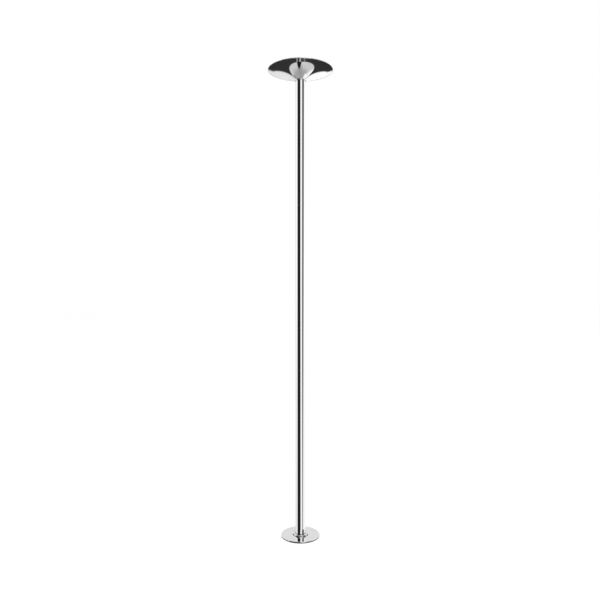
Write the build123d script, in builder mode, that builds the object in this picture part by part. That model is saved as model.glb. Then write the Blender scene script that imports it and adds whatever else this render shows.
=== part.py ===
from build123d import *

import os
from math import cos, radians, sin, tan

# A floor-to-ceiling dance pole: a jack in the foot lifts the tube and presses the top dome on the ceiling.
#
# Millimetres, +Z up. The origin is on the floor, under the middle of the base plate, and -Y is the front.
# The base stands still. The jack nut turns on the spindle and lifts the tube and the dome. The tube spins
# on ball bearings between the nut's sleeve and the dome's post, or is locked to the nut by two set screws.

os.makedirs("parts", exist_ok=True)

# Overall sizes
overall_height = 2235.0
tube_radius = 25.0
tube_wall = 2.0
base_radius = 92.0
dome_radius = 155.0
running_gap = 0.3  # between curved faces of pieces that move past each other
overcut = 1.0  # how far a cutting shape reaches past the face that it cuts

# Base: rubber mat, steel plate and the foot flange of the jack spindle
mat_radius = 91.0
mat_thickness = 4.5
mat_groove_radii = (30.0, 50.0, 70.0)
mat_groove_width = 3.0
mat_groove_depth = 1.0
plate_thickness = 3.5
plate_edge_round = 1.8
plate_bottom_chamfer = 0.6
plate_top = mat_thickness + plate_thickness
foot_radius = 23.0
foot_thickness = 3.0
foot_top = plate_top + foot_thickness

# Jack spindle Tr20 x 4 and its travel
spindle_radius = 10.0
thread_pitch = 4.0
lift_turns = 30
lift = thread_pitch * lift_turns
spindle_chamfer = 1.5

# Jack nut: a notched ring round the pole's foot, with a sleeve that runs up inside the tube
nut_radius = 38.0
nut_clearance = 1.5
nut_bottom = plate_top + nut_clearance
nut_height = 4.5
nut_top = nut_bottom + nut_height
nut_edge_round = 1.0
notch_width = 8.0
notch_depth = 5.5
notch_count = 6
first_notch_angle = 30.0
recess_radius = foot_radius + 1.0
recess_top = foot_top + 0.5
nut_bore_radius = spindle_radius + running_gap
sleeve_radius = 15.0
shoulder_radius = 16.5
sleeve_top = 76.0
spindle_top = sleeve_top + lift + 0.5
stop_washer_radius = 14.5
stop_washer_bore_radius = 3.2
stop_washer_thickness = 3.0
stop_washer_top = spindle_top + stop_washer_thickness
stop_screw_radius = 3.0
stop_screw_depth = 18.0
stop_screw_head_radius = 5.0
stop_screw_head_height = 3.5
stop_screw_head_round = 1.5
lock_height = 44.0
lock_groove_width = 7.0
lock_groove_radius = 13.0

# Ball bearings 30 x 42 x 7: two on the nut's sleeve, one on the dome's post
race_width = 7.0
race_outer_radius = 21.0
inner_race_edge = 17.3
outer_race_edge = 18.7
ball_radius = 1.5
ball_track_radius = 18.0
track_groove_radius = 1.6
balls_per_bearing = 14
cage_inner_radius = 17.5
cage_outer_radius = 18.5
cage_width = 4.4
lower_bearing_bottoms = (20.0, 62.0)
circlip_thickness = 1.5
circlip_radius = 17.0
circlip_groove_radius = 14.0
circlip_gap = 5.0
circlip_radial_width = circlip_radius - circlip_groove_radius

# Tube: three lengths butted together over expanding joiners
seal_radius = 26.0
seal_inner_radius = 19.0
seal_edge_round = 0.5
seal_thickness = 1.0
tube_foot = nut_top + running_gap + seal_thickness
lower_seam = 805.0
upper_seam = 1593.0
tube_top = 2196.0
tube_bore_radius = tube_radius - tube_wall
housing_step_radius = 19.0
joiner_half_length = 70.0
joiner_inner_radius = 16.0
joiner_slot = 3.0
joiner_bolt_radius = 4.0
joiner_bolt_tip = 15.4
joiner_bolt_end = tube_bore_radius - 1.5
joiner_key_width = 5.0
joiner_socket_depth = 4.0
joiner_bolt_offset = 35.0
key_hole_radius = 3.5
joiner_angle = 90.0

# Spin lock screws, at the back on both sides
lock_screw_radius = 3.0
lock_screw_hole_radius = 3.05
lock_screw_length = 8.0
lock_screw_outer_end = 24.5
lock_angles = {"left": 150.0, "right": 30.0}
hex_key_width = 3.0
hex_socket_depth = 2.5

# Dome: a spun shell with a rolled rim, closed by a flat plate under a rubber ring
gasket_thickness = 3.0
gasket_radius = 147.0
gasket_inner_radius = 130.0
rim_height = overall_height - gasket_thickness
rim_bead_radius = 1.6
rim_drop = 2.6  # from the rim plane down to where the wall leaves the rolled rim
shell_wall = 1.5
outer_slope = 13.3
inner_slope = 28.9
slope_meeting_radius = 85.6
slope_blend_radius = 326.0
neck_radius = 28.0
neck_blend_radius = 3.0
neck_bottom = rim_height - 54.5
neck_ring_height = 10.0
ceiling_plate_radius = 147.0
ceiling_plate_thickness = 2.5
ceiling_plate_bottom = rim_height - ceiling_plate_thickness

# Dome post: the hollow spigot in the tube's top
post_flange_radius = 32.0
post_flange_thickness = 6.0
post_flange_bottom = ceiling_plate_bottom - post_flange_thickness
post_bore_radius = 11.0
post_bottom = 2145.0
upper_bearing_bottom = 2163.0
upper_housing_bottom = 2138.0
upper_housing_top = 2192.0

# Countersunk screws M5
screw_radius = 2.5
screw_head_radius = 4.8
screw_head_height = 2.3
first_screw_angle = 45.0
base_screw_circle = 17.0
base_screw_count = 4
base_screw_tip = foot_top - 0.5
post_screw_circle = 23.0
post_screw_count = 3
post_screw_tip = post_flange_bottom + 0.5


def turn(corners, mode=Mode.ADD):
    """Turns the closed outline through these (radius, height) corners about Z."""
    with BuildSketch(Plane.XZ) as section:
        with BuildLine():
            Polyline(*corners, close=True)
        make_face()
    revolve(section.sketch, axis=Axis.Z, mode=mode)


def ring(inner, outer, bottom, top, mode=Mode.ADD):
    """Adds a plain ring between two radii and two heights."""
    turn([(inner, bottom), (outer, bottom), (outer, top), (inner, top)], mode)


def race(inner, outer, bottom):
    """Adds one bearing ring, with the balls' track turned into it."""
    with BuildSketch(Plane.XZ) as section:
        with Locations(((inner + outer) / 2, bottom + race_width / 2)):
            Rectangle(outer - inner, race_width)
        with Locations((ball_track_radius, bottom + race_width / 2)):
            Circle(track_groove_radius, mode=Mode.SUBTRACT)
    revolve(section.sketch, axis=Axis.Z)


def balls(bottom):
    """Adds one bearing's balls."""
    with Locations((0, 0, bottom + race_width / 2)):
        with PolarLocations(ball_track_radius, balls_per_bearing):
            Sphere(ball_radius)


def cage(bottom):
    """Adds one bearing's cage, a thin ring with a round pocket for each ball."""
    middle = bottom + race_width / 2
    ring(cage_inner_radius, cage_outer_radius, middle - cage_width / 2, middle + cage_width / 2)
    with Locations((0, 0, middle)):
        with PolarLocations(ball_track_radius, balls_per_bearing):
            Cylinder(track_groove_radius, race_width, rotation=(0, 90, 0), mode=Mode.SUBTRACT)


def circlip(bottom):
    """Adds an open retaining ring for a groove in a 30 mm shaft."""
    ring(circlip_groove_radius, circlip_radius, bottom, bottom + circlip_thickness)
    with Locations((0, circlip_radius, bottom + circlip_thickness / 2)):
        Box(circlip_gap, 2 * circlip_radial_width + overcut, 2 * circlip_thickness, mode=Mode.SUBTRACT)


def circlip_groove(bottom):
    """Cuts the groove that a circlip sits in."""
    ring(circlip_groove_radius, sleeve_radius + overcut, bottom, bottom + circlip_thickness, Mode.SUBTRACT)


def radial_plane(angle, height, radius=0.0):
    """The plane at an angle about Z whose normal points outward, a given way out from the axis."""
    outward = (cos(radians(angle)), sin(radians(angle)), 0)
    origin = (outward[0] * radius, outward[1] * radius, height)
    return Plane(origin=origin, x_dir=(0, 0, 1), z_dir=outward)


def key_holes(heights):
    """Cuts the small holes in a tube's back that let a key through to the joiner bolts."""
    for height in heights:
        with BuildSketch(radial_plane(joiner_angle, height)) as hole:
            Circle(key_hole_radius)
        extrude(hole.sketch, amount=tube_radius + overcut, mode=Mode.SUBTRACT)


def lock_holes():
    """Cuts the two tapped holes that the spin lock screws run in."""
    for angle in lock_angles.values():
        with BuildSketch(radial_plane(angle, lock_height)) as hole:
            Circle(lock_screw_hole_radius)
        extrude(hole.sketch, amount=tube_radius + overcut, mode=Mode.SUBTRACT)


def countersunk_outline(head_face, tip):
    """The half section of a countersunk screw, from its head's flat face to its tip."""
    down = 1 if tip > head_face else -1
    neck = head_face + down * screw_head_height
    return [(0, head_face), (screw_head_radius, head_face), (screw_radius, neck), (screw_radius, tip), (0, tip)]


def countersunk_screws(circle, count, head_face, tip, mode=Mode.ADD):
    """Adds a circle of countersunk screws, or cuts their holes."""
    with BuildPart(mode=Mode.PRIVATE) as screw:
        turn(countersunk_outline(head_face, tip))
    with PolarLocations(circle, count, start_angle=first_screw_angle):
        add(screw.part, mode=mode)


def finish(piece, name):
    """Labels a finished piece and writes its STEP file."""
    piece.label = name
    export_step(piece, f"parts/{name}.step")


# ---------------------------------------------------------------- base

with BuildPart() as base_mat:
    ring(0, mat_radius, 0, mat_thickness)
    for radius in mat_groove_radii:
        ring(radius, radius + mat_groove_width, 0, mat_groove_depth, Mode.SUBTRACT)
finish(base_mat.part, "base_mat")

with BuildPart() as base_plate:
    with BuildSketch(Plane.XY.offset(mat_thickness)):
        Circle(base_radius)
    extrude(amount=plate_thickness)
    fillet(base_plate.edges().sort_by(Axis.Z)[-1], radius=plate_edge_round)
    chamfer(base_plate.edges().sort_by(Axis.Z)[0], length=plate_bottom_chamfer)
    countersunk_screws(base_screw_circle, base_screw_count, mat_thickness, base_screw_tip, Mode.SUBTRACT)
finish(base_plate.part, "base_plate")

with BuildPart() as base_screws:
    countersunk_screws(base_screw_circle, base_screw_count, mat_thickness, base_screw_tip)
finish(base_screws.part, "base_screws")

stop_screw_tip = spindle_top - stop_screw_depth
stop_screw_top = stop_washer_top + stop_screw_head_height

with BuildPart() as jack_spindle:
    ring(0, foot_radius, plate_top, foot_top)
    ring(0, spindle_radius, foot_top, spindle_top)
    chamfer(jack_spindle.edges().sort_by(Axis.Z)[-1], length=spindle_chamfer)
    countersunk_screws(base_screw_circle, base_screw_count, mat_thickness, base_screw_tip, Mode.SUBTRACT)
    ring(0, stop_screw_radius, stop_screw_tip, spindle_top, Mode.SUBTRACT)
finish(jack_spindle.part, "jack_spindle")

with BuildPart() as spindle_stop_washer:
    ring(stop_washer_bore_radius, stop_washer_radius, spindle_top, stop_washer_top)
finish(spindle_stop_washer.part, "spindle_stop_washer")

with BuildPart() as spindle_stop_screw:
    ring(0, stop_screw_radius, stop_screw_tip, stop_washer_top)
    ring(0, stop_screw_head_radius, stop_washer_top, stop_screw_top)
    fillet(spindle_stop_screw.edges().sort_by(Axis.Z)[-1], radius=stop_screw_head_round)
    with BuildSketch(Plane.XY.offset(stop_screw_top)):
        RegularPolygon(hex_key_width / 2, 6, major_radius=False)
    extrude(amount=-hex_socket_depth, mode=Mode.SUBTRACT)
finish(spindle_stop_screw.part, "spindle_stop_screw")

# ---------------------------------------------------------------- jack nut and its bearings' inner pieces

lower_circlip_bottom = lower_bearing_bottoms[1] + race_width

with BuildPart() as jack_nut:
    ring(0, nut_radius, nut_bottom, nut_top)
    fillet(jack_nut.edges().sort_by(Axis.Z)[-1], radius=nut_edge_round)
    with BuildSketch(Plane.XY.offset(nut_bottom)):
        with PolarLocations(nut_radius, notch_count, start_angle=first_notch_angle):
            Rectangle(2 * notch_depth, notch_width)
    extrude(amount=nut_height, mode=Mode.SUBTRACT)
    ring(0, shoulder_radius, nut_top, lower_bearing_bottoms[0])
    ring(0, sleeve_radius, lower_bearing_bottoms[0], sleeve_top)
    ring(0, recess_radius, nut_bottom, recess_top, Mode.SUBTRACT)
    ring(0, nut_bore_radius, recess_top, sleeve_top, Mode.SUBTRACT)
    lock_groove_bottom = lock_height - lock_groove_width / 2
    lock_groove_top = lock_height + lock_groove_width / 2
    ring(lock_groove_radius, sleeve_radius + overcut, lock_groove_bottom, lock_groove_top, Mode.SUBTRACT)
    circlip_groove(lower_circlip_bottom)
finish(jack_nut.part, "jack_nut")

with BuildPart() as lower_bearing_inner_rings:
    for bottom in lower_bearing_bottoms:
        race(sleeve_radius, inner_race_edge, bottom)
finish(lower_bearing_inner_rings.part, "lower_bearing_inner_rings")

with BuildPart() as lower_bearing_balls:
    for bottom in lower_bearing_bottoms:
        balls(bottom)
finish(lower_bearing_balls.part, "lower_bearing_balls")

with BuildPart() as lower_bearing_cages:
    for bottom in lower_bearing_bottoms:
        cage(bottom)
finish(lower_bearing_cages.part, "lower_bearing_cages")

with BuildPart() as lower_circlip:
    circlip(lower_circlip_bottom)
finish(lower_circlip.part, "lower_circlip")

# ---------------------------------------------------------------- pole

with BuildPart() as dust_seal:
    ring(seal_inner_radius, seal_radius, nut_top + running_gap, tube_foot)
    fillet(dust_seal.edges().group_by(Axis.Z)[-1].sort_by(SortBy.LENGTH)[-1], radius=seal_edge_round)
finish(dust_seal.part, "dust_seal")

with BuildPart() as lower_bearing_housing:
    ring(race_outer_radius, tube_bore_radius, tube_foot, sleeve_top)
    shoulder_bottom = lower_bearing_bottoms[0] + race_width
    ring(housing_step_radius, race_outer_radius, shoulder_bottom, lower_bearing_bottoms[1])
    lock_holes()
finish(lower_bearing_housing.part, "lower_bearing_housing")

with BuildPart() as lower_bearing_outer_rings:
    for bottom in lower_bearing_bottoms:
        race(outer_race_edge, race_outer_radius, bottom)
finish(lower_bearing_outer_rings.part, "lower_bearing_outer_rings")

with BuildPart() as lower_tube:
    ring(tube_bore_radius, tube_radius, tube_foot, lower_seam)
    key_holes([lower_seam - joiner_bolt_offset])
    lock_holes()
finish(lower_tube.part, "lower_tube")

with BuildPart() as middle_tube:
    ring(tube_bore_radius, tube_radius, lower_seam, upper_seam)
    key_holes([lower_seam + joiner_bolt_offset, upper_seam - joiner_bolt_offset])
finish(middle_tube.part, "middle_tube")

with BuildPart() as upper_tube:
    ring(tube_bore_radius, tube_radius, upper_seam, tube_top)
    key_holes([upper_seam + joiner_bolt_offset])
finish(upper_tube.part, "upper_tube")

for place, seam in {"lower": lower_seam, "upper": upper_seam}.items():
    bolt_heights = [seam - joiner_bolt_offset, seam + joiner_bolt_offset]

    # two half sleeves with a slot between them, which the bolts spread against the tube
    with BuildPart() as joiner_shells:
        ring(joiner_inner_radius, tube_bore_radius, seam - joiner_half_length, seam + joiner_half_length)
        with Locations((0, 0, seam)):
            Box(2 * tube_radius, joiner_slot, 2 * joiner_half_length, mode=Mode.SUBTRACT)
        for height in bolt_heights:
            with BuildSketch(radial_plane(joiner_angle, height)) as tapped_hole:
                Circle(joiner_bolt_radius)
            extrude(tapped_hole.sketch, amount=tube_radius, mode=Mode.SUBTRACT)
    finish(joiner_shells.part, f"{place}_joiner_shells")

    # each bolt runs through the back half and bears on the front half
    with BuildPart() as joiner_bolts:
        for height in bolt_heights:
            with BuildSketch(radial_plane(joiner_angle, height, -joiner_bolt_tip)) as shank:
                Circle(joiner_bolt_radius)
            extrude(shank.sketch, amount=joiner_bolt_tip + joiner_bolt_end)
            with BuildSketch(radial_plane(joiner_angle, height, joiner_bolt_end)) as socket:
                RegularPolygon(joiner_key_width / 2, 6, major_radius=False)
            extrude(socket.sketch, amount=-joiner_socket_depth, mode=Mode.SUBTRACT)
    finish(joiner_bolts.part, f"{place}_joiner_bolts")

with BuildPart() as upper_bearing_housing:
    ring(race_outer_radius, tube_bore_radius, upper_housing_bottom, upper_housing_top)
    ring(housing_step_radius, race_outer_radius, upper_housing_bottom, upper_bearing_bottom)
finish(upper_bearing_housing.part, "upper_bearing_housing")

with BuildPart() as upper_bearing_outer_ring:
    race(outer_race_edge, race_outer_radius, upper_bearing_bottom)
finish(upper_bearing_outer_ring.part, "upper_bearing_outer_ring")

# ---------------------------------------------------------------- spin lock screws

for side, angle in lock_angles.items():
    with BuildPart() as lock_screw:
        with BuildSketch(radial_plane(angle, lock_height, lock_screw_outer_end)) as shank:
            Circle(lock_screw_radius)
        extrude(shank.sketch, amount=-lock_screw_length)
        with BuildSketch(radial_plane(angle, lock_height, lock_screw_outer_end)) as socket:
            RegularPolygon(hex_key_width / 2, 6, major_radius=False)
        extrude(socket.sketch, amount=-hex_socket_depth, mode=Mode.SUBTRACT)
    finish(lock_screw.part, f"{side}_lock_screw")

# ---------------------------------------------------------------- dome

rim_start_radius = dome_radius - rim_bead_radius
rim_start_height = rim_height - rim_drop
slope_meeting_height = rim_start_height - (rim_start_radius - slope_meeting_radius) * tan(radians(outer_slope))
neck_corner_height = slope_meeting_height - (slope_meeting_radius - neck_radius) * tan(radians(inner_slope))

with BuildPart() as dome_shell:
    # the wall: two slopes blended by a large arc, then a small arc into the upright neck
    with BuildSketch(Plane.XZ) as wall:
        with BuildLine() as skin:
            FilletPolyline(
                (rim_start_radius, rim_start_height),
                (slope_meeting_radius, slope_meeting_height),
                (neck_radius, neck_corner_height),
                (neck_radius, neck_bottom),
                radius=[slope_blend_radius, neck_blend_radius],
            )
            offset(amount=shell_wall, side=Side.RIGHT)
        make_face()
        with Locations((rim_start_radius, rim_height - rim_bead_radius)):
            Circle(rim_bead_radius)
    revolve(axis=Axis.Z)
finish(dome_shell.part, "dome_shell")

with BuildPart() as neck_ring:
    ring(tube_radius + running_gap, neck_radius - shell_wall, neck_bottom, neck_bottom + neck_ring_height)
finish(neck_ring.part, "neck_ring")

with BuildPart() as ceiling_plate:
    ring(0, ceiling_plate_radius, ceiling_plate_bottom, rim_height)
    countersunk_screws(post_screw_circle, post_screw_count, rim_height, post_screw_tip, Mode.SUBTRACT)
finish(ceiling_plate.part, "ceiling_plate")

with BuildPart() as ceiling_gasket:
    ring(gasket_inner_radius, gasket_radius, rim_height, overall_height)
finish(ceiling_gasket.part, "ceiling_gasket")

post_shoulder = upper_bearing_bottom + race_width
upper_circlip_bottom = upper_bearing_bottom - circlip_thickness

with BuildPart() as dome_post:
    ring(0, post_flange_radius, post_flange_bottom, ceiling_plate_bottom)
    ring(0, shoulder_radius, post_shoulder, post_flange_bottom)
    ring(0, sleeve_radius, post_bottom, post_shoulder)
    ring(0, post_bore_radius, post_bottom, ceiling_plate_bottom, Mode.SUBTRACT)
    circlip_groove(upper_circlip_bottom)
    countersunk_screws(post_screw_circle, post_screw_count, rim_height, post_screw_tip, Mode.SUBTRACT)
finish(dome_post.part, "dome_post")

with BuildPart() as post_screws:
    countersunk_screws(post_screw_circle, post_screw_count, rim_height, post_screw_tip)
finish(post_screws.part, "post_screws")

with BuildPart() as upper_bearing_inner_ring:
    race(sleeve_radius, inner_race_edge, upper_bearing_bottom)
finish(upper_bearing_inner_ring.part, "upper_bearing_inner_ring")

with BuildPart() as upper_bearing_balls:
    balls(upper_bearing_bottom)
finish(upper_bearing_balls.part, "upper_bearing_balls")

with BuildPart() as upper_bearing_cage:
    cage(upper_bearing_bottom)
finish(upper_bearing_cage.part, "upper_bearing_cage")

with BuildPart() as upper_circlip:
    circlip(upper_circlip_bottom)
finish(upper_circlip.part, "upper_circlip")
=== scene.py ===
"""A floor-to-ceiling dance pole in mirror chrome, in a white studio with dark panels that it reflects."""

from math import acos, atan2, cos, degrees, hypot, pi, radians, sin, tan

import bmesh
import bpy
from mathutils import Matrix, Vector


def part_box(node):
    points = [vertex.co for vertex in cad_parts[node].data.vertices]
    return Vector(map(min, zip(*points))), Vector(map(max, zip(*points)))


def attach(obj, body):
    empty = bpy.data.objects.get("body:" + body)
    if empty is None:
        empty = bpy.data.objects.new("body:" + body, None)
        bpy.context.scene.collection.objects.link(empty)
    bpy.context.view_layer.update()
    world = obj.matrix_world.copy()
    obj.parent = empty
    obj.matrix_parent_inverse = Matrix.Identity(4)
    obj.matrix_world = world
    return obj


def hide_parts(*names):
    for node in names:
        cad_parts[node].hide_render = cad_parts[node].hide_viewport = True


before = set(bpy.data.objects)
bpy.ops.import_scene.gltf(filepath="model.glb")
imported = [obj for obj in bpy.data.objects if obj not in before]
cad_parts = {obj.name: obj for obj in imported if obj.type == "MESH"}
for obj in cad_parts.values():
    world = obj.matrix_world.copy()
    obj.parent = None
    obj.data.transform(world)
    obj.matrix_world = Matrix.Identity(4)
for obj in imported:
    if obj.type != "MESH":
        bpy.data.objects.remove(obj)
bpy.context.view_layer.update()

MM = 0.001
FINE = 384  # facets round the dome and the base plate
MEDIUM = 256  # facets round the tubes
SAG = 0.002 * MM  # the steps of an arc stay this near to the true arc
WELD = 0.002 * MM  # points nearer than this become one
ON_AXIS = 1e-7  # points nearer to the axis than this are on it
SOFTEST_CORNER = radians(32)  # a turned outline that turns by more than this has a sharp edge

# ---------------------------------------------------------------- outlines, (radius, height) in metres


def arc(centre, radius, start, end, steps):
    """Points along an arc, its angles in degrees from outward, turning upward."""
    angles = [radians(start + (end - start) * i / steps) for i in range(steps + 1)]
    return [(centre[0] + radius * cos(a), centre[1] + radius * sin(a)) for a in angles]


def rounded(corners, sag=SAG):
    """An outline through (radius, height, rounding) corners; the first and last stay as they are.

    An arc gets as many steps as keep it within sag of true.
    """
    points = [corners[0][:2]]
    for before, corner, after in zip(corners, corners[1:], corners[2:]):
        here = Vector(corner[:2])
        back = (Vector(before[:2]) - here).normalized()
        ahead = (Vector(after[:2]) - here).normalized()
        opening = acos(max(-1.0, min(1.0, back.dot(ahead))))
        if corner[2] <= 0 or opening > pi - 1e-4:
            points.append(tuple(here))
            continue
        reach = corner[2] / tan(opening / 2)
        centre = here + (back + ahead).normalized() * (corner[2] / sin(opening / 2))
        first, last = here + back * reach - centre, here + ahead * reach - centre
        start = atan2(first.y, first.x)
        sweep = (atan2(last.y, last.x) - start + pi) % (2 * pi) - pi
        step = 2 * acos(1 - sag / corner[2])
        steps = max(4, round(abs(sweep) / step))
        for i in range(steps + 1):
            angle = start + sweep * i / steps
            points.append((centre.x + corner[2] * cos(angle), centre.y + corner[2] * sin(angle)))
    points.append(corners[-1][:2])
    return points


def block(inner, outer, bottom, top, rounding):
    """A closed outline of a plain ring with rounded edges."""
    middle = (bottom + top) / 2
    corners = [(inner, middle, 0), (inner, bottom, rounding), (outer, bottom, rounding)]
    corners += [(outer, top, rounding), (inner, top, rounding), (inner, middle, 0)]
    return rounded(corners)[:-1]


# ---------------------------------------------------------------- meshes


def add_piece(name, mesh, body, slot, material, *nodes):
    """Links a mesh as a piece that rides on a body and stands for the CAD nodes named."""
    piece = bpy.data.objects.new(name, mesh)
    bpy.context.scene.collection.objects.link(piece)
    mesh.materials.clear()
    mesh.materials.append(material)
    if nodes:
        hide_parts(*nodes)
    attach(piece, body)
    return piece


def turned_mesh(name, outlines, facets):
    """A mesh turned about Z from closed outlines, with their own normals, so that mirrors are true."""
    mesh = bpy.data.meshes.new(name)
    vertices, faces, face_normals = [], [], []
    for outline in outlines:
        points = [Vector(p) for p in outline]
        if sum(a.x * b.y - b.x * a.y for a, b in zip(points, points[1:] + points[:1])) < 0:
            points.reverse()
        count = len(points)
        edges = [points[(i + 1) % count] - points[i] for i in range(count)]
        outward = [Vector((e.y, -e.x)).normalized() for e in edges]
        ends = []
        for i in range(count):
            turn = outward[i - 1].angle(outward[i], 0.0)
            mixed = outward[i - 1] * edges[i - 1].length**2 + outward[i] * edges[i].length**2
            soft = turn < SOFTEST_CORNER
            ends.append((mixed.normalized(), mixed.normalized()) if soft else (outward[i - 1], outward[i]))
        rings = []
        for point in points:
            if point.x < ON_AXIS:
                rings.append([len(vertices)] * facets)
                vertices.append((0, 0, point.y))
                continue
            rings.append(list(range(len(vertices), len(vertices) + facets)))
            for k in range(facets):
                angle = 2 * pi * k / facets
                vertices.append((point.x * cos(angle), point.x * sin(angle), point.y))
        for i in range(count):
            j = (i + 1) % count
            if points[i].x < ON_AXIS and points[j].x < ON_AXIS:
                continue
            here, there = ends[i][1], ends[j][0]
            for k in range(facets):
                n = (k + 1) % facets
                loop = [(rings[i][k], here, k), (rings[i][n], here, k + 1)]
                loop += [(rings[j][n], there, k + 1), (rings[j][k], there, k)]
                unique = [c for c, previous in zip(loop, loop[-1:] + loop[:-1]) if c[0] != previous[0]]
                faces.append([c[0] for c in unique])
                for _, normal, step in unique:
                    angle = 2 * pi * step / facets
                    face_normals.append((normal.x * cos(angle), normal.x * sin(angle), normal.y))
    mesh.from_pydata(vertices, [], faces)
    mesh.shade_smooth()
    mesh.normals_split_custom_set(face_normals)
    return mesh


def turned(name, outlines, facets, body, slot, material, *nodes):
    """A turned piece."""
    return add_piece(name, turned_mesh(name, outlines, facets), body, slot, material, *nodes)


def evaluated_mesh(item):
    """A new mesh of an object as its curve settings or modifiers make it."""
    bpy.context.view_layer.update()
    graph = bpy.context.evaluated_depsgraph_get()
    return bpy.data.meshes.new_from_object(item.evaluated_get(graph), depsgraph=graph)


def cut_round_holes(mesh, holes, radius_outside, radius_inside):
    """Cuts radial round holes, given as (angle, height, radius), and restores the tube's true normals.

    A corner gets the round wall's normal where its face is on the wall, and its flat face's own elsewhere.
    """
    near_wall, along_radius, level = 0.02 * MM, 0.95, 0.05
    tube = bpy.data.objects.new("tube_to_cut", mesh)
    bpy.context.scene.collection.objects.link(tube)
    cutters = []
    for angle, height, radius in holes:
        work = bmesh.new()
        bmesh.ops.create_cone(
            work, cap_ends=True, segments=48, radius1=radius, radius2=radius, depth=2 * radius_outside
        )
        data = bpy.data.meshes.new("hole")
        work.to_mesh(data)
        work.free()
        cutter = bpy.data.objects.new("hole", data)
        cutter.rotation_euler = (0, pi / 2, radians(angle))
        outward = Vector((cos(radians(angle)), sin(radians(angle)), 0))
        cutter.location = outward * radius_outside + Vector((0, 0, height))
        bpy.context.scene.collection.objects.link(cutter)
        cutters.append(cutter)
        boolean = tube.modifiers.new("cut", "BOOLEAN")
        boolean.operation = "DIFFERENCE"
        boolean.solver = "EXACT"
        boolean.object = cutter
    result = evaluated_mesh(tube)
    for scratch in [tube, *cutters]:
        bpy.data.objects.remove(scratch)
    result.shade_smooth()
    normals = []
    for face in result.polygons:
        for index in face.vertices:
            place = result.vertices[index].co
            radial = Vector((place.x, place.y, 0)).normalized()
            lean = face.normal.dot(radial)
            reach = hypot(place.x, place.y)
            on_wall = min(abs(reach - radius_outside), abs(reach - radius_inside)) < near_wall
            if abs(lean) > along_radius and abs(face.normal.z) < level and on_wall:
                normals.append(radial if lean > 0 else -radial)
            else:
                normals.append(face.normal.copy())
    result.normals_split_custom_set(normals)
    return result


# ---------------------------------------------------------------- materials


class Nodes:
    """A short way to write a node tree."""

    def __init__(self, tree):
        self.tree = tree
        tree.nodes.clear()

    def add(self, kind, inputs=None, **settings):
        node = self.tree.nodes.new(kind)
        for key, value in settings.items():
            setattr(node, key, value)
        for key, value in (inputs or {}).items():
            if isinstance(value, bpy.types.NodeSocket):
                self.tree.links.new(value, node.inputs[key])
            else:
                node.inputs[key].default_value = value
        return node

    def math(self, operation, first, second=0.0):
        return self.add("ShaderNodeMath", {0: first, 1: second}, operation=operation).outputs[0]

    def product(self, *values):
        result = values[0]
        for value in values[1:]:
            result = self.math("MULTIPLY", result, value)
        return result

    def span(self, value, low, high, start=0.0, end=1.0, smooth=True):
        """value from low..high mapped to start..end, clamped."""
        kind = "SMOOTHSTEP" if smooth else "LINEAR"
        inputs = {"Value": value, "From Min": low, "From Max": high, "To Min": start, "To Max": end}
        return self.add("ShaderNodeMapRange", inputs, interpolation_type=kind).outputs["Result"]

    def blend(self, factor, first, second):
        """A number between first and second."""
        inputs = {"Factor": factor, "A": first, "B": second}
        return self.add("ShaderNodeMix", inputs, data_type="FLOAT").outputs[0]

    def colour(self, factor, first, second):
        """A colour between first and second."""
        node = self.add("ShaderNodeMix", data_type="RGBA")
        colours = [socket for socket in node.inputs if socket.type == "RGBA"]
        for socket, value in zip([node.inputs[0], *colours], (factor, first, second)):
            if isinstance(value, bpy.types.NodeSocket):
                self.tree.links.new(value, socket)
            else:
                socket.default_value = value
        return [socket for socket in node.outputs if socket.type == "RGBA"][0]


def surface(name, base_colour, metallic, roughness, **sockets):
    """A new material with a Principled shader: the material, the nodes to dress it, and the shader."""
    material = bpy.data.materials.new(name)
    material.use_nodes = True
    nodes = Nodes(material.node_tree)
    inputs = {"Base Color": (*base_colour, 1), "Metallic": metallic, "Roughness": roughness}
    inputs.update({key.replace("_", " "): value for key, value in sockets.items()})
    shader = nodes.add("ShaderNodeBsdfPrincipled", inputs)
    output = nodes.add("ShaderNodeOutputMaterial")
    nodes.tree.links.new(shader.outputs[0], output.inputs["Surface"])
    return material, nodes, shader


def noise(nodes, stretch, scale, detail=3.0, roughness=0.55):
    """Noise over the piece's own space, its coordinates multiplied by stretch."""
    place = nodes.add("ShaderNodeTexCoord").outputs["Object"]
    scaled = nodes.add("ShaderNodeMapping", {"Vector": place, "Scale": stretch}).outputs[0]
    inputs = {"Vector": scaled, "Scale": scale, "Detail": detail, "Roughness": roughness}
    return nodes.add("ShaderNodeTexNoise", inputs).outputs[0]


def bump(nodes, shader, height, strength, distance):
    """Raises the surface by a height map, distance in metres."""
    inputs = {"Height": height, "Strength": strength, "Distance": distance}
    normal = nodes.add("ShaderNodeBump", inputs).outputs[0]
    nodes.tree.links.new(normal, shader.inputs["Normal"])


def rings(nodes, per_metre):
    """A fine lathe pattern: noise of the distance from the Z axis."""
    place = nodes.add("ShaderNodeTexCoord").outputs["Object"]
    split = nodes.add("ShaderNodeSeparateXYZ", {0: place}).outputs
    squares = [nodes.product(split[i], split[i]) for i in (0, 1)]
    distance = nodes.math("SQRT", nodes.math("ADD", *squares))
    turned_by = nodes.product(distance, per_metre)
    inputs = {"W": turned_by, "Scale": 1.0, "Detail": 4.0}
    return nodes.add("ShaderNodeTexNoise", inputs, noise_dimensions="1D").outputs[0]


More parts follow.
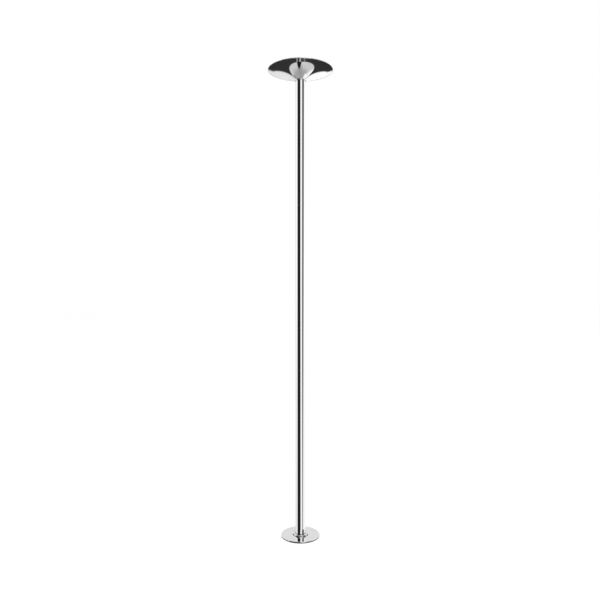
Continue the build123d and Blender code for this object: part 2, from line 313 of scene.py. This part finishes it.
def chrome_material(name, marks, smudge_scale):
    """Polished chrome plate: a mirror with faint wipe marks, hairline scratches and finger smudges."""
    material, nodes, shader = surface(name, (0.9, 0.9, 0.905), 1.0, 0.03)
    smudges = nodes.span(noise(nodes, (1, 1, 0.6), smudge_scale, 4.0), 0.52, 0.78, 0.0, 0.03)
    hairlines = nodes.span(noise(nodes, marks, 90.0, 2.0), 0.66, 0.82, 0.0, 0.02)
    rough = nodes.math("ADD", nodes.math("ADD", smudges, hairlines), 0.014)
    nodes.tree.links.new(rough, shader.inputs["Roughness"])
    tint = nodes.colour(nodes.span(smudges, 0.0, 0.03), (0.91, 0.91, 0.915, 1), (0.87, 0.87, 0.872, 1))
    nodes.tree.links.new(tint, shader.inputs["Base Color"])
    bump(nodes, shader, noise(nodes, marks, 260.0, 2.0), 0.05, 0.00002)
    return material


def spun_chrome_material():
    """Spun and polished chrome: the same mirror with faint rings left by the spinning tool."""
    material, nodes, shader = surface("spun_chrome", (0.9, 0.9, 0.905), 1.0, 0.03)
    smudges = nodes.span(noise(nodes, (1, 1, 1), 14.0, 4.0), 0.5, 0.78, 0.0, 0.04)
    lathe = rings(nodes, 1600.0)
    rough = nodes.math("ADD", nodes.math("ADD", smudges, nodes.product(lathe, 0.02)), 0.016)
    nodes.tree.links.new(rough, shader.inputs["Roughness"])
    bump(nodes, shader, lathe, 0.06, 0.00002)
    return material


def rubber_material(name, grain):
    """Matt black rubber with a fine pebble grain and a little dust."""
    material, nodes, shader = surface(name, (0.02, 0.02, 0.021), 0.0, 0.75)
    dust = nodes.span(noise(nodes, (1, 1, 1), 25.0, 5.0), 0.4, 0.75)
    tint = nodes.colour(dust, (0.018, 0.018, 0.019, 1), (0.045, 0.044, 0.043, 1))
    nodes.tree.links.new(tint, shader.inputs["Base Color"])
    pebble = nodes.add("ShaderNodeTexVoronoi", {"Scale": grain}, feature="F1")
    place = nodes.add("ShaderNodeTexCoord").outputs["Object"]
    nodes.tree.links.new(place, pebble.inputs["Vector"])
    bump(nodes, shader, pebble.outputs["Distance"], 0.4, 0.0001)
    return material


def metal_material(name, base_colour, roughness, direction, wear=0.12):
    """Machined metal: turned or drawn lines along one direction, with uneven shine."""
    material, nodes, shader = surface(name, base_colour, 1.0, roughness)
    lines = noise(nodes, direction, 220.0, 3.0)
    cloud = noise(nodes, (1, 1, 1), 18.0, 3.0)
    rough = nodes.span(lines, 0.3, 0.7, roughness - 0.08, roughness + 0.08)
    nodes.tree.links.new(rough, shader.inputs["Roughness"])
    darker = tuple(c * (1 - wear) for c in base_colour)
    tint = nodes.colour(nodes.span(cloud, 0.35, 0.7), (*base_colour, 1), (*darker, 1))
    nodes.tree.links.new(tint, shader.inputs["Base Color"])
    bump(nodes, shader, lines, 0.2, 0.00004)
    return material


def plastic_material():
    """Black nylon with a fine moulded grain."""
    material, nodes, shader = surface("black_nylon", (0.03, 0.03, 0.03), 0.0, 0.45)
    grain = noise(nodes, (1, 1, 1), 900.0, 2.0)
    tint = nodes.colour(grain, (0.022, 0.022, 0.023, 1), (0.04, 0.04, 0.041, 1))
    nodes.tree.links.new(tint, shader.inputs["Base Color"])
    bump(nodes, shader, grain, 0.25, 0.00005)
    return material


tube_chrome = chrome_material("tube_chrome", (1, 1, 0.02), 9.0)
plate_chrome = chrome_material("plate_chrome", (1, 0.06, 1), 12.0)
nut_chrome = chrome_material("nut_chrome", (0.3, 0.3, 1), 30.0)
spun_chrome = spun_chrome_material()
mat_rubber = rubber_material("mat_rubber", 900.0)
seal_rubber = rubber_material("seal_rubber", 2200.0)
black_nylon = plastic_material()
machined_steel = metal_material("machined_steel", (0.56, 0.56, 0.57), 0.28, (0.05, 0.05, 1))
black_screw_steel = metal_material("black_screw_steel", (0.16, 0.16, 0.165), 0.38, (1, 1, 1))
ground_steel = metal_material("ground_steel", (0.62, 0.62, 0.64), 0.2, (0.1, 0.1, 1))
dark_spring_steel = metal_material("dark_spring_steel", (0.2, 0.2, 0.22), 0.35, (1, 1, 1))
pressed_brass = metal_material("pressed_brass", (0.75, 0.57, 0.27), 0.3, (0.1, 0.1, 1))
turned_aluminium = metal_material("turned_aluminium", (0.74, 0.74, 0.76), 0.32, (0.05, 0.05, 1))
sheet_aluminium = metal_material("sheet_aluminium", (0.7, 0.7, 0.72), 0.4, (1, 0.03, 1))

carried_over = {
    "base_screws": black_screw_steel,
    "spindle_stop_washer": machined_steel,
    "spindle_stop_screw": black_screw_steel,
    "lower_bearing_inner_rings": ground_steel,
    "lower_bearing_balls": ground_steel,
    "lower_bearing_cages": pressed_brass,
    "lower_bearing_outer_rings": ground_steel,
    "lower_bearing_housing": turned_aluminium,
    "lower_circlip": dark_spring_steel,
    "lower_joiner_shells": turned_aluminium,
    "lower_joiner_bolts": black_screw_steel,
    "upper_joiner_shells": turned_aluminium,
    "upper_joiner_bolts": black_screw_steel,
    "upper_bearing_housing": turned_aluminium,
    "upper_bearing_outer_ring": ground_steel,
    "upper_bearing_inner_ring": ground_steel,
    "upper_bearing_balls": ground_steel,
    "upper_bearing_cage": pressed_brass,
    "upper_circlip": dark_spring_steel,
    "left_lock_screw": black_screw_steel,
    "right_lock_screw": black_screw_steel,
    "dome_post": turned_aluminium,
    "post_screws": black_screw_steel,
    "ceiling_plate": sheet_aluminium,
}
for node, material in carried_over.items():
    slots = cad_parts[node].data.materials
    slots.clear()
    slots.append(material)

# ---------------------------------------------------------------- base

mat_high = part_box("base_mat")[1]
plate_low, plate_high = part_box("base_plate")
base_radius = plate_high.x
groove_depth, groove_width, groove_draft = 1.0 * MM, 3 * MM, 0.3 * MM

mat_outline = [(0, mat_high.z), (0, 0)]
for groove in (30 * MM, 50 * MM, 70 * MM):
    mat_outline += [(groove, 0), (groove + groove_draft, groove_depth)]
    mat_outline += [(groove + groove_width - groove_draft, groove_depth), (groove + groove_width, 0)]
mat_edge = [(groove + 2 * groove_width, 0, 0), (mat_high.x, 0, 0.4 * MM), (mat_high.x, mat_high.z, 0.3 * MM)]
mat_outline += rounded([*mat_edge, (0, mat_high.z, 0)])[:-1]
turned("base_mat_rubber", [mat_outline], FINE, "base", "rubber", mat_rubber, "base_mat")

plate_outline = rounded(
    [
        (0, plate_low.z, 0),
        (base_radius, plate_low.z, 0.6 * MM),
        (base_radius, plate_high.z, 1.8 * MM),
        (0, plate_high.z, 0),
    ]
)
turned("base_plate_chrome", [plate_outline], FINE, "base", "chrome", plate_chrome, "base_plate")


def thread_mesh(name, crest, root, pitch, bottom, top, facets=64):
    """A trapezoidal screw thread that runs out at both ends, as a closed mesh."""
    shape = [(0.0, root), (0.18, crest), (0.5, crest), (0.68, root)]  # share of a pitch, radius
    turns = int((top - bottom) / pitch) + 2
    work = bmesh.new()
    columns = []
    for k in range(facets):
        column = []
        for turn in range(-1, turns):
            for share, radius in shape:
                height = bottom + pitch * (turn + share + k / facets)
                inside = bottom < height < top
                height = min(max(height, bottom), top)
                place = radius if inside else root
                angle = 2 * pi * k / facets
                column.append(work.verts.new((place * cos(angle), place * sin(angle), height)))
        columns.append(column)
    for k in range(facets):
        here, there = columns[k], columns[(k + 1) % facets]
        step = len(shape) if k == facets - 1 else 0
        for i in range(len(here) - 1):
            far = i + step
            if far + 1 < len(there):
                work.faces.new((here[i], there[far], there[far + 1], here[i + 1]))
    bmesh.ops.remove_doubles(work, verts=work.verts, dist=WELD)
    bmesh.ops.dissolve_degenerate(work, edges=work.edges, dist=WELD)
    bmesh.ops.holes_fill(work, edges=[e for e in work.edges if e.is_boundary], sides=0)
    bmesh.ops.recalc_face_normals(work, faces=work.faces)
    mesh = bpy.data.meshes.new(name)
    work.to_mesh(mesh)
    work.free()
    mesh.shade_smooth()
    mesh.set_sharp_from_angle(angle=radians(28))
    return mesh


foot_low, foot_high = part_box("jack_spindle")
foot_top = plate_high.z + 3 * MM
spindle_radius, root_radius, pitch = 10 * MM, 7.75 * MM, 4 * MM
stub_radius, stub_top = root_radius + 0.6 * MM, foot_top + 3 * MM
thread_bottom = stub_top - 0.5 * MM
foot_outline = rounded(
    [
        (0, foot_low.z, 0),
        (foot_high.x, foot_low.z, 0.3 * MM),
        (foot_high.x, foot_top, 0.8 * MM),
        (stub_radius, foot_top, 0.6 * MM),
        (stub_radius, stub_top, 0.3 * MM),
        (0, stub_top, 0),
    ]
)
turned("jack_spindle_foot", [foot_outline], MEDIUM, "base", "machined_steel", machined_steel)
thread = thread_mesh("jack_spindle_thread", spindle_radius, root_radius, pitch, thread_bottom, foot_high.z)
add_piece("jack_spindle_thread", thread, "base", "machined_steel", machined_steel, "jack_spindle")

# ---------------------------------------------------------------- jack nut

nut_low, nut_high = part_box("jack_nut")
nut_radius, nut_height = 38 * MM, 4.5 * MM
nut_top = nut_low.z + nut_height
recess_radius, recess_top = 24 * MM, 11.5 * MM
notch_width, notch_depth = 8 * MM, 5.5 * MM
notch_count, first_notch = 6, radians(30)
nut_edge = 0.7 * MM


def notched_outline():
    """The jack nut's outside seen from above: a circle with square spanner notches, as (x, y) points."""
    half = notch_width / 2
    mouth = nut_radius * cos(half / nut_radius)
    floor = nut_radius - notch_depth
    past_mouth = mouth + 6 * MM
    inner_round, outer_round, corner_steps = 1.0 * MM, 0.7 * MM, 5
    square = [
        (past_mouth, -half, 0),
        (floor, -half, inner_round),
        (floor, half, inner_round),
        (past_mouth, half, 0),
    ]
    walls = [p for p in rounded(square, 0.01 * MM) if p[0] < mouth - outer_round]

    def shoulder(side):
        """The rounded corner between the rim and one wall of the notch, from the rim inward."""
        lean = atan2(half + outer_round, nut_radius)
        centre = ((nut_radius - outer_round) * cos(lean), side * (half + outer_round))
        return arc(centre, outer_round, side * 6.0, side * -90.0, corner_steps)

    notch = shoulder(-1) + walls + shoulder(1)[::-1]
    spacing = 2 * pi / notch_count
    rim_gap, rim_steps = radians(0.6), 60
    first = atan2(notch[-1][1], notch[-1][0]) + rim_gap
    rim = [first + (spacing - 2 * first) * i / rim_steps for i in range(rim_steps + 1)]
    sector = notch + [(nut_radius * cos(a), nut_radius * sin(a)) for a in rim]
    turns = [first_notch + spacing * k for k in range(notch_count)]
    return [(x * cos(t) - y * sin(t), x * sin(t) + y * cos(t)) for t in turns for x, y in sector]


def flat_ring(name, outside, inner_radius, bottom, top, edge):
    """A plate with a drawn outside, a round hole and rounded edges, from a filled 2D curve."""
    curve = bpy.data.curves.new(name, "CURVE")
    curve.dimensions = "2D"
    curve.fill_mode = "BOTH"
    step = 2 * pi / MEDIUM
    inside = [(inner_radius * cos(step * k), inner_radius * sin(step * k)) for k in range(MEDIUM)]
    for loop in (outside, inside):
        spline = curve.splines.new("POLY")
        spline.points.add(len(loop) - 1)
        for point, (x, y) in zip(spline.points, loop):
            point.co = (x, y, 0, 1)
        spline.use_cyclic_u = True
    curve.extrude = (top - bottom) / 2 - edge
    curve.bevel_depth = edge
    curve.bevel_resolution = 3
    curve.offset = -edge
    shape = bpy.data.objects.new(name, curve)
    bpy.context.scene.collection.objects.link(shape)
    mesh = evaluated_mesh(shape)
    bpy.data.objects.remove(shape)
    for vertex in mesh.vertices:
        vertex.co.z += (top + bottom) / 2
    work = bmesh.new()
    work.from_mesh(mesh)
    bmesh.ops.remove_doubles(work, verts=work.verts, dist=WELD)
    bmesh.ops.recalc_face_normals(work, faces=work.faces)
    work.to_mesh(mesh)
    work.free()
    mesh.shade_smooth()
    mesh.set_sharp_from_angle(angle=radians(40))
    return mesh


ring = add_piece(
    "jack_nut_ring",
    flat_ring("jack_nut_ring", notched_outline(), recess_radius, nut_low.z, nut_top, nut_edge),
    "nut",
    "nut_chrome",
    nut_chrome,
)
weighted = ring.modifiers.new("flat faces stay flat", "WEIGHTED_NORMAL")
weighted.keep_sharp = True
weighted.weight = 100
ring.data = evaluated_mesh(ring)
ring.modifiers.clear()

sleeve_radius, shoulder_radius, bore_radius = 15 * MM, 16.5 * MM, 10.3 * MM
shoulder_top, web_drop, web_rise = 20 * MM, 0.8 * MM, 0.4 * MM
groove_radius, lock_height, lock_width = 13 * MM, 44 * MM, 7 * MM
groove_bottom, groove_top = lock_height - lock_width / 2, lock_height + lock_width / 2
sleeve_outline = [
    (bore_radius, recess_top),
    (recess_radius, recess_top),
    (recess_radius, nut_top - web_drop),
    (shoulder_radius, nut_top - web_drop + web_rise),
    (shoulder_radius, shoulder_top),
    (sleeve_radius, shoulder_top),
    (sleeve_radius, groove_bottom),
    (groove_radius, groove_bottom),
    (groove_radius, groove_top),
    (sleeve_radius, groove_top),
    (sleeve_radius, nut_high.z),
    (bore_radius, nut_high.z),
]
turned("jack_nut_sleeve", [sleeve_outline], MEDIUM, "nut", "nut_chrome", machined_steel, "jack_nut")

# ---------------------------------------------------------------- pole

seal_low, seal_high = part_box("dust_seal")
seal_inner, seal_middle = 19 * MM, (seal_low.z + seal_high.z) / 2
lip_radius, lip_rise = 24 * MM, 0.25 * MM
seal_outline = rounded(
    [
        (seal_inner, seal_middle, 0),
        (seal_inner, seal_low.z, 0.2 * MM),
        (lip_radius, seal_low.z + lip_rise, 0.3 * MM),
        (seal_high.x, seal_low.z, 0.1 * MM),
        (seal_high.x, seal_high.z, 0.5 * MM),
        (seal_inner, seal_high.z, 0.2 * MM),
        (seal_inner, seal_middle, 0),
    ]
)[:-1]
turned("dust_seal_ring", [seal_outline], MEDIUM, "pole", "rubber", seal_rubber, "dust_seal")

tube_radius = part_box("middle_tube")[1].x
tube_wall = 2 * MM
seam_chamfer = 0.25 * MM
key_hole_radius, key_hole_offset, lock_hole_radius = 3.5 * MM, 35 * MM, 3.05 * MM
back, left_lock, right_lock = 90.0, 150.0, 30.0  # degrees round the tube from the right
seams = [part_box("middle_tube")[0].z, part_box("middle_tube")[1].z]
tube_holes = {
    "lower_tube": [
        (back, seams[0] - key_hole_offset, key_hole_radius),
        (left_lock, lock_height, lock_hole_radius),
        (right_lock, lock_height, lock_hole_radius),
    ],
    "middle_tube": [
        (back, seams[0] + key_hole_offset, key_hole_radius),
        (back, seams[1] - key_hole_offset, key_hole_radius),
    ],
    "upper_tube": [(back, seams[1] + key_hole_offset, key_hole_radius)],
}
for node, holes in tube_holes.items():
    low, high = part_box(node)
    outline = block(tube_radius - tube_wall, tube_radius, low.z, high.z, seam_chamfer)
    mesh = turned_mesh(node + "_chrome", [outline], MEDIUM)
    mesh = cut_round_holes(mesh, holes, tube_radius, tube_radius - tube_wall)
    add_piece(node + "_chrome", mesh, "pole", "chrome", tube_chrome, node)

# ---------------------------------------------------------------- dome

dome_low, dome_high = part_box("dome_shell")
rim_height, dome_radius = dome_high.z, dome_high.x
bead_radius, shell_wall = 1.6 * MM, 1.5 * MM
rim_drop = 2.6 * MM
slopes = (radians(13.3), radians(28.9))
meeting_radius, blend_radius = 85.6 * MM, 326 * MM
neck_radius, neck_blend = 28 * MM, 3 * MM

bead_centre = (dome_radius - bead_radius, rim_height - bead_radius)
meeting_height = rim_height - rim_drop - (bead_centre[0] - meeting_radius) * tan(slopes[0])
neck_corner = meeting_height - (meeting_radius - neck_radius) * tan(slopes[1])
lift = shell_wall / cos((slopes[0] + slopes[1]) / 2)
inner_neck = neck_radius - shell_wall
inner_corner = meeting_height + lift - (meeting_radius - inner_neck) * tan(slopes[1])

# the wall leaves the bead where its two faces cross the bead's circle
face_depth = (rim_drop - bead_radius) * cos(slopes[0])
bead_start = degrees(slopes[0]) - 90 - degrees(acos(face_depth / bead_radius))
bead_end = degrees(slopes[0]) + 90 + degrees(acos((shell_wall - face_depth) / bead_radius))
bead = arc(bead_centre, bead_radius, bead_start, bead_end, 28)
inside = rounded(
    [
        (*bead[-1], 0),
        (meeting_radius, meeting_height + lift, blend_radius - shell_wall),
        (inner_neck, inner_corner, neck_blend),
        (inner_neck, dome_low.z, 0.6 * MM),
        (neck_radius, dome_low.z, 0.6 * MM),
        (neck_radius, neck_corner, neck_blend),
        (meeting_radius, meeting_height, blend_radius),
        (*bead[0], 0),
    ]
)
turned("dome_chrome", [bead[:-1] + inside[:-1]], FINE, "dome", "chrome", spun_chrome, "dome_shell")

neck_low, neck_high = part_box("neck_ring")
neck_outline = block(tube_radius + 0.3 * MM, neck_high.x, neck_low.z + 0.3 * MM, neck_high.z, 0.25 * MM)
turned("neck_ring_nylon", [neck_outline], MEDIUM, "dome", "black_plastic", black_nylon, "neck_ring")

gasket_low, gasket_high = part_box("ceiling_gasket")
gasket_inner, gasket_outer = 130 * MM, gasket_high.x
ribs, rib_height = 6, 0.8 * MM
rib_width = (gasket_outer - gasket_inner) / ribs
gasket_outline = [(gasket_inner, gasket_low.z), (gasket_outer, gasket_low.z)]
for rib in range(ribs):
    outer_edge = gasket_outer - rib * rib_width
    for share, drop in ((0.1, 0.0), (0.65, 0.0), (0.85, rib_height)):
        gasket_outline.append((outer_edge - share * rib_width, gasket_high.z - drop))
turned("ceiling_gasket_rubber", [gasket_outline], FINE, "dome", "rubber", mat_rubber, "ceiling_gasket")

# ---------------------------------------------------------------- studio

# light of the studio's parts, where 1 is the white that the camera sees
CAMERA_WHITE, DIFFUSE_WHITE = 1.0, 1.07
WALL, CEILING, LEFT_REAR, HIGH_REAR = 1.12, 0.8, 0.83, 0.79
SHEET_NEAR, SHEET_FAR, SHEET_LEFT, SHEET_RIGHT = 0.4, 0.64, 0.85, 1.0
CARPET, BLACK = 0.032, 0.013
GREY_LOW, GREY_HIGH = 0.36, 0.13
FRONT_LOW, FRONT_HIGH = 0.38, 0.7
FRONT_LEFT, FRONT_MIDDLE, FRONT_RIGHT = 0.23, 0.44, 0.04


class Sky(Nodes):
    """The light that comes from every direction, laid on part by part."""

    def __init__(self, tree):
        super().__init__(tree)
        direction = self.add("ShaderNodeTexCoord").outputs["Generated"]
        x, y, z = self.add("ShaderNodeSeparateXYZ", {0: direction}).outputs[:3]
        to_degrees = degrees(1)
        # degrees round from the front and from the rear, and up from the horizon; to the right is positive
        self.front = self.product(self.math("ARCTAN2", x, self.product(y, -1.0)), to_degrees)
        self.rear = self.product(self.math("ARCTAN2", x, y), to_degrees)
        self.height = self.product(self.math("ARCSINE", z), to_degrees)
        # where a direction meets a floor far below, in units of its depth
        depth = self.math("MAXIMUM", self.product(z, -1.0), 0.01)
        self.across = self.math("DIVIDE", x, depth)
        self.away = self.math("DIVIDE", y, depth)
        self.light = self.span(self.height, 12.0, 34.0, WALL, CEILING)

    def lay(self, mask, tone):
        """Puts a tone over the light where the mask is 1."""
        self.light = self.blend(mask, self.light, tone)

    def between(self, value, low, high, soft):
        """1 between two sides and 0 beyond them."""
        rise = self.span(self.math("SUBTRACT", value, low), -soft, soft)
        fall = self.span(self.math("SUBTRACT", value, high), -soft, soft, 1.0, 0.0)
        return self.product(rise, fall)

    def below(self, value, edge, soft):
        """1 under an edge and 0 over it."""
        return self.span(self.math("SUBTRACT", value, edge), -soft, soft, 1.0, 0.0)

    def patch(self, azimuths, elevations, tone, soft):
        """A tone in a span of azimuths from the front and a span of elevations."""
        sides = self.between(self.front, *azimuths, soft[0])
        self.lay(self.product(sides, self.between(self.height, *elevations, soft[1])), tone)


def lay_walls(sky):
    """Dimmer parts of the white: the left rear, and a block high at the rear."""
    sky.patch((-200, -124), (-100, 60), LEFT_REAR, soft=(4.0, 4.0))
    block_mask = sky.product(sky.between(sky.rear, -14, 14, 2.0), sky.between(sky.height, 21, 60, 1.5))
    sky.lay(block_mask, HIGH_REAR)


def lay_sheet_and_carpet(sky):
    """A grey sheet under the pole, lighter at its sides, with a dark carpet behind it."""
    sheet = sky.span(sky.away, 0.36, 0.66, SHEET_NEAR, SHEET_FAR)
    right_side = sky.span(sky.away, 0.38, 0.52, 0.28, 0.39)
    sheet = sky.blend(sky.below(sky.across, right_side, 0.04), SHEET_RIGHT, sheet)
    sheet = sky.blend(sky.below(sky.across, -0.6, 0.15), sheet, SHEET_LEFT)
    sky.lay(sky.below(sky.away, 1.4, 0.2), sheet)

    near_edge = sky.span(sky.across, -0.4, 0.22, 0.79, 0.95)
    beyond = sky.span(sky.math("SUBTRACT", sky.away, near_edge), -0.03, 0.03)
    sides = sky.between(sky.across, -0.68, 0.73, 0.08)
    sky.lay(sky.product(beyond, sides, sky.below(sky.height, -4.5, 1.5)), CARPET)


def lay_floor_in_front(sky):
    """The floor in front, light with dark parts; a black wedge on it narrows and fades downward."""
    in_front = sky.product(sky.between(sky.front, -128, 128, 4.0), sky.below(sky.height, -34, 2.0))
    sky.lay(in_front, sky.span(sky.height, -70.0, -48.0, FRONT_LOW, FRONT_HIGH))

    far_part = (-47.9, -34)
    sky.patch((-128, -77), far_part, FRONT_LEFT, soft=(4.0, 0.5))
    sky.patch((-30, 17), far_part, FRONT_MIDDLE, soft=(4.0, 0.5))
    sky.patch((17, 137), far_part, FRONT_RIGHT, soft=(3.0, 0.5))

    left_side = sky.span(sky.height, -66.0, -56.0, -90.0, -140.0, smooth=False)
    right_side = sky.span(sky.height, -64.0, -49.0, -10.0, 34.0, smooth=False)
    sides = sky.between(sky.front, left_side, right_side, 3.0)
    wedge = sky.product(sides, sky.below(sky.height, far_part[0], 0.5))
    sky.lay(wedge, sky.span(sky.height, -68.5, -58.5, FRONT_LOW, BLACK))


def lay_panels(sky):
    """An upright black panel with its foot askew, and to its right a narrower grey one that widens upward."""
    left_side = sky.span(sky.height, -42.0, -30.0, -77.0, -66.0)
    right_side = sky.span(sky.height, -42.0, -30.0, -32.0, -1.0)
    sides = sky.between(sky.front, left_side, right_side, 2.0)
    sky.lay(sky.product(sides, sky.between(sky.height, -49, 40, 2.0)), BLACK)

    right_side = sky.span(sky.height, -24.0, 19.0, 60.0, 84.0, smooth=False)
    sides = sky.product(sky.span(sky.front, 34.0, 37.0), sky.below(sky.front, right_side, 2.0))
    grey = sky.span(sky.height, -25.0, -5.0, GREY_LOW, GREY_HIGH)
    sky.lay(sky.product(sides, sky.between(sky.height, -30, 40, 4.0)), grey)


def studio_world():
    """White all round, with the dark things that the chrome shows; the camera itself sees plain white."""
    world = bpy.data.worlds.new("studio")
    world.use_nodes = True
    bpy.context.scene.world = world
    sky = Sky(world.node_tree)
    for lay_part in (lay_walls, lay_sheet_and_carpet, lay_floor_in_front, lay_panels):
        lay_part(sky)
    paths = sky.add("ShaderNodeLightPath").outputs
    sky.lay(paths["Is Diffuse Ray"], DIFFUSE_WHITE)
    sky.lay(paths["Is Camera Ray"], CAMERA_WHITE)
    background = sky.add("ShaderNodeBackground", {"Color": (1, 1, 1, 1), "Strength": sky.light})
    output = sky.add("ShaderNodeOutputWorld")
    sky.tree.links.new(background.outputs[0], output.inputs["Surface"])


studio_world()


def studio_floor():
    """A plain pale floor that the chrome doesn't reflect."""
    work = bmesh.new()
    bmesh.ops.create_grid(work, x_segments=2, y_segments=2, size=20)
    mesh = bpy.data.meshes.new("floor")
    work.to_mesh(mesh)
    work.free()
    floor = bpy.data.objects.new("floor", mesh)
    bpy.context.scene.collection.objects.link(floor)
    material, nodes, shader = surface("pale_floor", (0.97, 0.97, 0.97), 0.0, 0.9)
    speckle = noise(nodes, (1, 1, 1), 60.0, 2.0)
    tint = nodes.colour(speckle, (0.965, 0.965, 0.965, 1), (0.98, 0.98, 0.98, 1))
    nodes.tree.links.new(tint, shader.inputs["Base Color"])
    mesh.materials.append(material)
    floor.visible_glossy = False


studio_floor()


def soft_light(name, place, size, power):
    """A square softbox that looks at the pole's foot and isn't seen in the chrome."""
    lamp = bpy.data.lights.new(name, "AREA")
    lamp.shape = "SQUARE"
    lamp.size = size
    lamp.energy = power
    light = bpy.data.objects.new(name, lamp)
    light.location = place
    light.rotation_euler = (Vector((0, 0, 0.3)) - Vector(place)).to_track_quat("-Z", "Y").to_euler()
    light.visible_glossy = False
    bpy.context.scene.collection.objects.link(light)


soft_light("key", (-2.2, -2.6, 3.6), 2.5, 60)
soft_light("fill", (2.6, -1.8, 3.0), 3.0, 35)

camera_data = bpy.data.cameras.new("camera")
camera_data.sensor_width, camera_data.lens = 36.0, 35.4  # millimetres
camera = bpy.data.objects.new("camera", camera_data)
camera.location = (0, -2.825, 1.228)
tilt, yaw = radians(-1.755), radians(0.044)
camera.rotation_euler = (pi / 2 + tilt, 0, yaw)
bpy.context.scene.collection.objects.link(camera)
bpy.context.scene.camera = camera
bpy.context.scene.view_settings.view_transform = "Standard"
